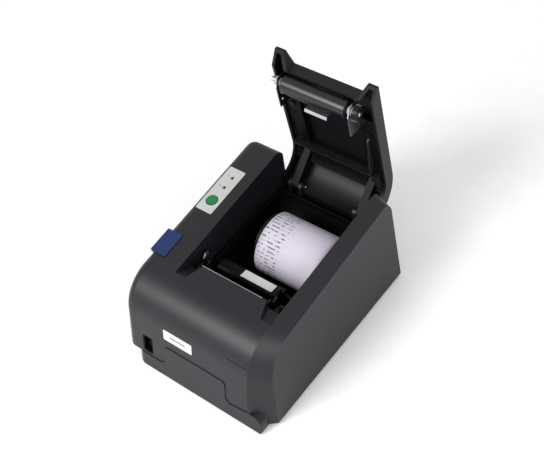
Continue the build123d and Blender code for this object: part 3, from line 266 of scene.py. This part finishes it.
# Moulded ABS is dull with a spark-eroded grain of about 0.3 mm, drawn at 0.7 mm so that it shows.
# Brushed steel has scratches drawn out along X. Thermal paper is a cool, almost glossless white.
MATERIALS = {
    "abs_charcoal_moulded": finish("abs_charcoal_moulded", "#131317", "#19191f", 0.42, 0.7, 0.06, specular=0.36),
    "abs_black_moulded": finish("abs_black_moulded", "#040405", "#070709", 0.5, 0.8, 0.05, specular=0.15),
    # Black plastic a step darker than the black inner plastic, for the lid frame and platen cover: its own black
    # colour with painted shade of the lid's inside added.
    "abs_black_painted_shade": finish("abs_black_painted_shade", "#030304", "#060608", 0.5, 0.8, 0.05, specular=0.15),
    # The casing's charcoal plastic darkened for the lid shell and its cross rib: painted shade of the open lid.
    "abs_charcoal_painted_shade": finish("abs_charcoal_painted_shade", "#09090b", "#0e0e11", 0.44, 0.7, 0.06, specular=0.25),
    "rubber_moulded": finish("rubber_moulded", "#101011", "#18181a", 0.75, 0.9, 0.05),
    "silicone_platen": finish("silicone_platen", "#0a0a0c", "#101013", 0.3, 0.5, 0.02),
    "steel_brushed": finish("steel_brushed", "#a9abaf", "#c8cacd", 0.3, 0.6, 0.01, 1.0, (0.05, 1, 1)),
    "steel_blackened": finish("steel_blackened", "#232426", "#303134", 0.4, 0.8, 0.01, 0.9, (0.1, 1, 1)),
    "aluminium_milled": finish("aluminium_milled", "#b5b7ba", "#d0d2d4", 0.32, 0.5, 0.01, 1.0, (0.05, 1, 1)),
    "ceramic_glazed": finish("ceramic_glazed", "#c9c3b4", "#d8d3c6", 0.18, 1.5),
    "acetal_gear": finish("acetal_gear", "#131315", "#1c1c1f", 0.34, 1.0, 0.02),
    "brass_turned": finish("brass_turned", "#a98644", "#c8a45e", 0.28, 0.4, 0.01, 1.0),
    "nylon_bush": finish("nylon_bush", "#8f9093", "#a6a7aa", 0.42, 1.0, 0.02),
    "thermal_paper": finish("thermal_paper", "#b2acba", "#bfbac5", 0.72, 1.2, 0.02),
    "kraft_board": finish("kraft_board", "#7c6648", "#947d5c", 0.85, 1.0, 0.05),
    "label_film_white": finish("label_film_white", "#c2c3c5", "#cdcecf", 0.45, 2.0),
    "label_film_grey": finish("label_film_grey", "#a3a5a1", "#aeb0ac", 0.45, 0.8, 0.02),
    "keycap_green": finish("keycap_green", "#065a33", "#0a6c41", 0.34, 1.0, 0.02),
    "keycap_blue": finish("keycap_blue", "#0f1c3f", "#1a2d5c", 0.45, 0.6, 0.05, specular=0.3),
    "lens_smoked": finish("lens_smoked", "#1b2320", "#26302c", 0.12, 2.0, coat=0.6),
    "fibreglass_board": finish("fibreglass_board", "#0c2a1c", "#123726", 0.4, 0.6, 0.01),
    "moulded_component": finish("moulded_component", "#121214", "#1a1a1d", 0.45, 0.9, 0.03),
    "print_ink_grey": finish("print_ink_grey", "#7d8083", "#8c8f92", 0.5, 1.0),
}
SLOT_FINISH = {
    "casing_plastic": "abs_charcoal_moulded", "inner_plastic": "abs_black_moulded",
    "foot_rubber": "rubber_moulded", "platen_rubber": "silicone_platen", "steel": "steel_brushed",
    "aluminium": "aluminium_milled", "ceramic": "ceramic_glazed", "gear_plastic": "acetal_gear",
    "brass": "brass_turned", "bush_plastic": "nylon_bush", "paper": "thermal_paper", "core": "kraft_board",
    "white_label": "label_film_white", "grey_label": "label_film_grey", "feed_green": "keycap_green",
    "release_blue": "keycap_blue", "lens": "lens_smoked", "circuit_board": "fibreglass_board",
    "black_component": "moulded_component",
}
NODE_FINISH = {
    # lid_frame takes the darkened copy of the black inner plastic: its own black with painted shade added.
    "lid_frame": "abs_black_painted_shade", "mechanism_frame": "steel_blackened", "spring_rail": "steel_blackened",
    "case_screws": "steel_blackened", "board_screws": "steel_blackened", "lid_screws": "steel_blackened",
    # lid_shell takes the darkened copy of the charcoal casing plastic: painted shade.
    "stepper_motor": "steel_blackened", "platen_bracket_left": "steel_blackened", "lid_shell": "abs_charcoal_painted_shade",
}


def paint_nodes():
    """Every CAD node takes the finish of its slot, or one of its own."""
    for part in frame["record"]["subparts"]:
        node = part["node"]
        chosen = NODE_FINISH.get(node, SLOT_FINISH[part["material_slot"]])
        mesh = bpy.data.objects[node].data
        mesh.materials.clear()
        mesh.materials.append(MATERIALS[chosen])


# ------------------------------------------------------------------ paper roll and platen
def add_paper_roll():
    """Wound roll: a turned profile whose end faces step in and out by a tenth of a millimetre per few layers."""
    low, high = corners("paper_roll")
    centre = (low + high) / 2
    outer = (high[2] - low[2]) / 2
    inner = BORE_RADIUS
    layers = 46
    radius = np.linspace(inner, outer - 0.15, layers)
    wave = 0.09 * (np.arange(layers) % 2) + 0.05 * np.sin(np.arange(layers) * 1.7)
    left = np.column_stack((low[0] + 0.15 + wave, radius))
    right = np.column_stack((high[0] - 0.15 - wave, radius))[::-1]
    skin = np.column_stack((np.linspace(low[0] + 0.3, high[0] - 0.3, 12), np.full(12, outer)))
    bore = np.column_stack((np.linspace(high[0] - 0.3, low[0] + 0.3, 3), np.full(3, inner)))
    profile = np.concatenate((left, skin, right, bore, left[:1]))
    points = turned(profile, centre, ROLL_SIDES)
    faces = grid_faces(len(profile) - 1, ROLL_SIDES, True)
    first = np.arange(ROLL_SIDES)
    last = first + (len(profile) - 2) * ROLL_SIDES
    faces += np.stack((last, np.roll(last, -1), np.roll(first, -1), first), axis=-1).tolist()
    printed = finish("thermal_paper_printed", "#b2acba", "#bfbac5", 0.72, 1.2, 0.02)
    add_marks(printed, centre, 3.4, 0.3, -8.0, "#57535f")
    piece = add_solid("roll_windings", points[:-1], faces, "roll", printed)
    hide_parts("paper_roll")


def add_platen_sleeve():
    """Rubber sleeve: a turned profile with quarter round ends and faint grinding rings every 1.2 mm."""
    low, high = corners("platen_rubber")
    centre = (low + high) / 2
    radius = (high[2] - low[2]) / 2
    x = np.linspace(low[0] + 0.6, high[0] - 0.6, 140)
    body = np.column_stack((x, radius - 0.03 * (1 + np.cos(x * 2 * np.pi / 1.2))))
    turn = np.linspace(0, np.pi / 2, 6)[:-1]
    start = np.column_stack((low[0] + 0.6 - 0.6 * np.cos(turn), radius - 0.6 + 0.6 * np.sin(turn)))
    end = np.column_stack((high[0] - 0.6 + 0.6 * np.cos(turn), radius - 0.6 + 0.6 * np.sin(turn)))[::-1]
    profile = np.concatenate((start, body, end))
    piece = add_piece("platen_sleeve", turned(profile, centre, 72), "platen", "silicone_platen")
    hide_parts("platen_rubber")


def add_head_springs():
    """Two coils in the place of the plain sleeves."""
    low, high = corners("head_springs")
    middle = (low + high) / 2
    for name, x in (("spring_left", low[0] + 2.6), ("spring_right", high[0] - 2.6)):
        centre = np.array((x, middle[1], middle[2]))
        add_piece(name, coiled(centre, 2.2, 0.35, high[1] - low[1] - 0.8, 6),
                              "casing", "steel_brushed")
    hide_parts("head_springs")


# ------------------------------------------------------------------ lid inside
def lid_bar(outline, x0, x1):
    """An outline of (back, depth) points carried across the lid from x0 to x1."""
    outline = np.array(outline, float)
    return on_lid(np.stack([np.column_stack((np.full(len(outline), x), outline)) for x in (x0, x1)]))


def add_lid_ribs():
    """Ribs of the lid's lining: one tall bar across, a wedge along the right and three thin gussets below it."""
    low, high = corners("lid_frame")
    x0, x1 = low[0] + 1.5, high[0] - 1.5
    tall = lid_bar(((82.0, 7.6), (83.4, 7.6), (83.4, 14.0), (82.0, 14.0)), x0, x1)
    # The cross rib takes the darkened copy of the charcoal casing plastic: painted shade.
    add_piece("lid_cross_rib", tall, "lid", "abs_charcoal_painted_shade", 0.3, False)
    wedge = lid_bar(((44.0, 7.6), (82.0, 7.6), (82.0, 14.0), (46.0, 10.0)), x1 - 8.0, x1 - 6.4)
    add_piece("lid_wedge_rib", wedge, "lid", "abs_charcoal_moulded", 0.3, False)
    for k, back in enumerate((87.0, 91.0, 95.0)):
        gusset = lid_bar(((back, 7.6), (back + 0.9, 7.6), (back + 0.9, 12.0), (back, 12.0)), x1 - 9.0, x1)
        add_piece("lid_gusset_%d" % (k + 1), gusset, "lid", "abs_charcoal_moulded", 0.2, False)


def add_platen_cover():
    """Dark plate in front of the platen, edged with a bright steel wire."""
    low, high = corners("platen_rubber")
    plate = lid_bar(((2.4, 2.4), (3.2, 2.4), (3.4, 8.2), (2.6, 8.2)), low[0], high[0])
    # The plate takes the darkened copy of the black inner plastic: its own black with painted shade added.
    add_piece("platen_cover", plate, "lid", "abs_black_painted_shade", 0.15, False)
    wire = lid_bar(0.32 * rounded_outline(2.0, 2.0, 0.98, 4) + np.array((2.9, 8.6)), low[0] + 4, high[0] - 6)
    add_piece("cover_wire", wire, "lid", "steel_brushed")


def add_bracket_rivets():
    """Domed rivet heads: a quarter circle profile turned about X, on the inner face of each platen bracket."""
    for side, sign in (("left", 1), ("right", -1)):
        low, high = corners("platen_bracket_" + side)
        face = high[0] if sign > 0 else low[0]
        for k, share in enumerate((0.35, 0.7)):
            centre = np.array((0, low[1] + 5.0, low[2] + (high[2] - low[2]) * share * 0.6))
            turn = np.linspace(0, np.pi / 2, 7)
            profile = np.column_stack((face + sign * (0.7 * np.sin(turn)), 1.5 * np.cos(turn) + 0.02))
            add_piece("rivet_%s_%d" % (side, k + 1), turned(profile, centre, 28), "lid", "steel_brushed")


# ------------------------------------------------------------------ labels and marks
def add_control_marks():
    """Blank marks beside each indicator: small rounded plates a twentieth of a mm thick."""
    low, high = corners("led_lenses")
    x = (low[0] + high[0]) / 2 - 4.4
    for name, y in (("mark_power", high[1] - 1.2), ("mark_error", low[1] + 1.2)):
        label_low, label_high = corners("control_label")
        z = label_high[2] - (label_high[1] - y) * math.tan(TOP_SLOPE)
        outline = rounded_outline(2.2, 1.0, 0.3)
        points = placed(raised(outline, -0.02, 0.05), (x, y, z), TOP_SLOPE)
        add_piece(name, points, "casing", "print_ink_grey", smooth=False)


def add_front_label_mark():
    """A plain bar on the front label, as a blank mark."""
    low, high = corners("front_label")
    centre = (low + high) / 2
    tilt = math.pi / 2 - FRONT_LEAN
    outward = np.array((0, -math.sin(tilt), math.cos(tilt)))
    points = placed(raised(rounded_outline(15.0, 2.0, 0.4), 0.0, 0.06), centre + outward * 0.14, tilt)
    add_piece("front_label_bar", points, "casing", "print_ink_grey", smooth=False)


# ------------------------------------------------------------------ boards
def add_board_parts():
    """Chips and capacitors on the main board: rounded plates carried up, and turned cans standing on end."""
    low, high = corners("main_board")
    top = high[2]
    for k, (dx, dy, size) in enumerate(((30, 24, 12), (52, 30, 9), (70, 20, 7), (24, 50, 6))):
        points = raised(rounded_outline(size, size, 0.5), top - 0.05, top + 1.4)
        points = points + np.array((low[0] + dx, low[1] + dy, 0))
        add_piece("chip_%d" % (k + 1), points, "casing", "moulded_component", 0.15, False)
    for k, (dx, dy) in enumerate(((12, 26), (12, 38), (84, 30))):
        points = raised(rounded_outline(6.0, 6.0, 2.9, 10), top - 0.05, top + 6.5)
        points = points + np.array((low[0] + dx, low[1] + dy, 0))
        add_piece("capacitor_%d" % (k + 1), points, "casing", "aluminium_milled", 0.3)


# ------------------------------------------------------------------ scene
def add_camera():
    """Camera on a sphere round the target, turned about its own line of sight by the roll."""
    az, el, roll = (math.radians(v) for v in (CAMERA_AZIMUTH, CAMERA_ELEVATION, CAMERA_ROLL))
    back = Vector((math.sin(az) * math.cos(el), -math.cos(az) * math.cos(el), math.sin(el)))
    level = Vector((math.cos(az), math.sin(az), 0))
    rise = back.cross(level)
    right = level * math.cos(roll) + rise * math.sin(roll)
    up = rise * math.cos(roll) - level * math.sin(roll)
    turn = Matrix((right, up, back)).transposed().to_4x4()
    data = bpy.data.cameras.new("camera")
    data.lens = CAMERA_LENS
    data.sensor_width = 36
    camera = bpy.data.objects.new("camera", data)
    camera.matrix_world = Matrix.Translation(CAMERA_TARGET + back * CAMERA_DISTANCE) @ turn
    bpy.context.scene.collection.objects.link(camera)
    bpy.context.scene.camera = camera


def add_stage():
    """Plain pale table."""
    bpy.ops.mesh.primitive_plane_add(size=6)
    floor = bpy.context.object
    floor.name = "floor"
    floor.data.materials.append(finish("table_matte_white", "#e9e9eb", "#eeeeef", 0.9, 30.0))


def add_light(name, place, aim, size, power):
    data = bpy.data.lights.new(name, "AREA")
    data.size = size
    data.energy = power
    light = bpy.data.objects.new(name, data)
    light.location = place
    light.rotation_euler = (Vector(aim) - Vector(place)).to_track_quat("-Z", "Y").to_euler()
    bpy.context.scene.collection.objects.link(light)


paint_nodes()
add_paper_roll()
add_platen_sleeve()
add_head_springs()
add_lid_ribs()
add_platen_cover()
add_bracket_rivets()
add_control_marks()
add_front_label_mark()
add_board_parts()
add_camera()
add_stage()
add_light("key", (-0.5, -1.3, 1.2), (0, 0, 0.05), 0.8, 27)
add_light("fill", (1.3, -0.7, 0.9), (0, 0, 0.05), 0.9, 12)
bpy.context.scene.view_settings.view_transform = "Standard"
world = bpy.data.worlds.new("world")
world.use_nodes = True
world.node_tree.nodes["Background"].inputs[0].default_value = (1, 1, 1, 1)
world.node_tree.nodes["Background"].inputs[1].default_value = 0.78
bpy.context.scene.world = world
